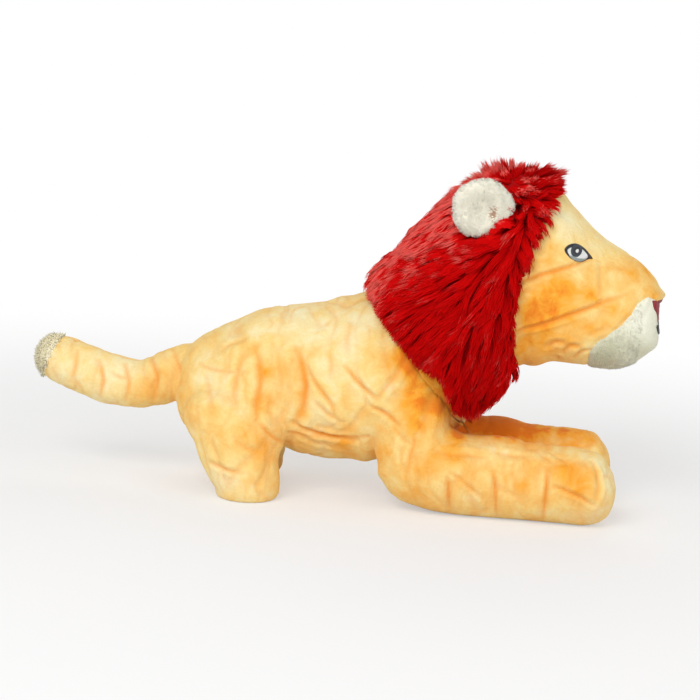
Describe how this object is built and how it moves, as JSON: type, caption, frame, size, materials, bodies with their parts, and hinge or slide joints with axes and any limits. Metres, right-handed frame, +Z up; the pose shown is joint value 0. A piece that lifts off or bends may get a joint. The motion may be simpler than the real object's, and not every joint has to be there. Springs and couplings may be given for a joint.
{
  "type": "plush lion",
  "caption": "Plush lion with its front legs stretched out, golden short-pile cloth, long red mane, round cream ears, cream muzzle and cream tail tip.",
  "frame": {"origin": "on the floor under the middle of the lion, halfway from the tip of the tail to the tip of the nose", "axes": "+X the way the lion faces, +Y its left side, +Z up"},
  "size_m": [0.388, 0.1352, 0.2145],
  "materials": {
    "gold_plush": "matte",
    "cream_plush": "matte",
    "red_pile": "matte",
    "stuffing": "matte",
    "black_thread": "satin",
    "white_thread": "satin",
    "nose_thread": "satin"
  },
  "bodies": {
    "torso": {"torso_panel_left": "gold_plush", "torso_panel_right": "gold_plush", "belly_panel": "gold_plush", "torso_stuffing": "stuffing"},
    "head": {"muzzle_panel": "cream_plush", "face_panel_left": "gold_plush", "mane_left": "red_pile", "face_panel_right": "gold_plush", "mane_right": "red_pile", "head_stuffing": "stuffing", "eye_white_left": "white_thread", "eye_iris_left": "black_thread", "eye_glint_left": "white_thread", "eye_white_right": "white_thread", "eye_iris_right": "black_thread", "eye_glint_right": "white_thread", "nose": "nose_thread", "mouth_stitching": "black_thread"},
    "ear_left": {"ear_back_left": "cream_plush", "ear_lining_left": "cream_plush"},
    "front_leg_left": {"front_leg_cover_left": "gold_plush", "front_leg_stuffing_left": "stuffing"},
    "hind_leg_left": {"hind_leg_cover_left": "gold_plush", "hind_leg_stuffing_left": "stuffing", "hind_foot_sole_left": "gold_plush"},
    "ear_right": {"ear_back_right": "cream_plush", "ear_lining_right": "cream_plush"},
    "front_leg_right": {"front_leg_cover_right": "gold_plush", "front_leg_stuffing_right": "stuffing"},
    "hind_leg_right": {"hind_leg_cover_right": "gold_plush", "hind_leg_stuffing_right": "stuffing", "hind_foot_sole_right": "gold_plush"},
    "tail": {"tail_cover": "gold_plush", "tail_tip_cover": "cream_plush", "tail_stuffing": "stuffing"}
  },
  "joints": [
    {"name": "head_twist", "type": "hinge", "parent": "torso", "child": "head", "pos_m": [0.04826, 0, 0.089], "axis": [0.788, 0, 0.6157], "range_deg": [-12, 12], "stiffness_Nm_per_rad": 1.2},
    {"name": "ear_left_fold", "type": "hinge", "parent": "head", "child": "ear_left", "pos_m": [0.08028, 0.04988, 0.167], "axis": [0.9511, -0.309, 0], "range_deg": [-18, 18], "stiffness_Nm_per_rad": 0.02},
    {"name": "front_leg_left_swing", "type": "hinge", "parent": "torso", "child": "front_leg_left", "pos_m": [0.05174, 0.032, 0.058], "axis": [0, -1, 0], "range_deg": [-12, 12], "stiffness_Nm_per_rad": 2},
    {"name": "hind_leg_left_swing", "type": "hinge", "parent": "torso", "child": "hind_leg_left", "pos_m": [-0.05954, 0.035, 0.05], "axis": [0, -1, 0], "range_deg": [-12, 12], "stiffness_Nm_per_rad": 2},
    {"name": "ear_right_fold", "type": "hinge", "parent": "head", "child": "ear_right", "pos_m": [0.08028, -0.04988, 0.167], "axis": [-0.9511, -0.309, 0], "range_deg": [-18, 18], "stiffness_Nm_per_rad": 0.02},
    {"name": "front_leg_right_swing", "type": "hinge", "parent": "torso", "child": "front_leg_right", "pos_m": [0.05174, -0.032, 0.058], "axis": [0, -1, 0], "range_deg": [-12, 12], "stiffness_Nm_per_rad": 2},
    {"name": "hind_leg_right_swing", "type": "hinge", "parent": "torso", "child": "hind_leg_right", "pos_m": [-0.05954, -0.035, 0.05], "axis": [0, -1, 0], "range_deg": [-12, 12], "stiffness_Nm_per_rad": 2},
    {"name": "tail_swing", "type": "hinge", "parent": "torso", "child": "tail", "pos_m": [-0.09874, 0, 0.07], "axis": [0, 0, 1], "range_deg": [-15, 15], "stiffness_Nm_per_rad": 0.2}
  ]
}
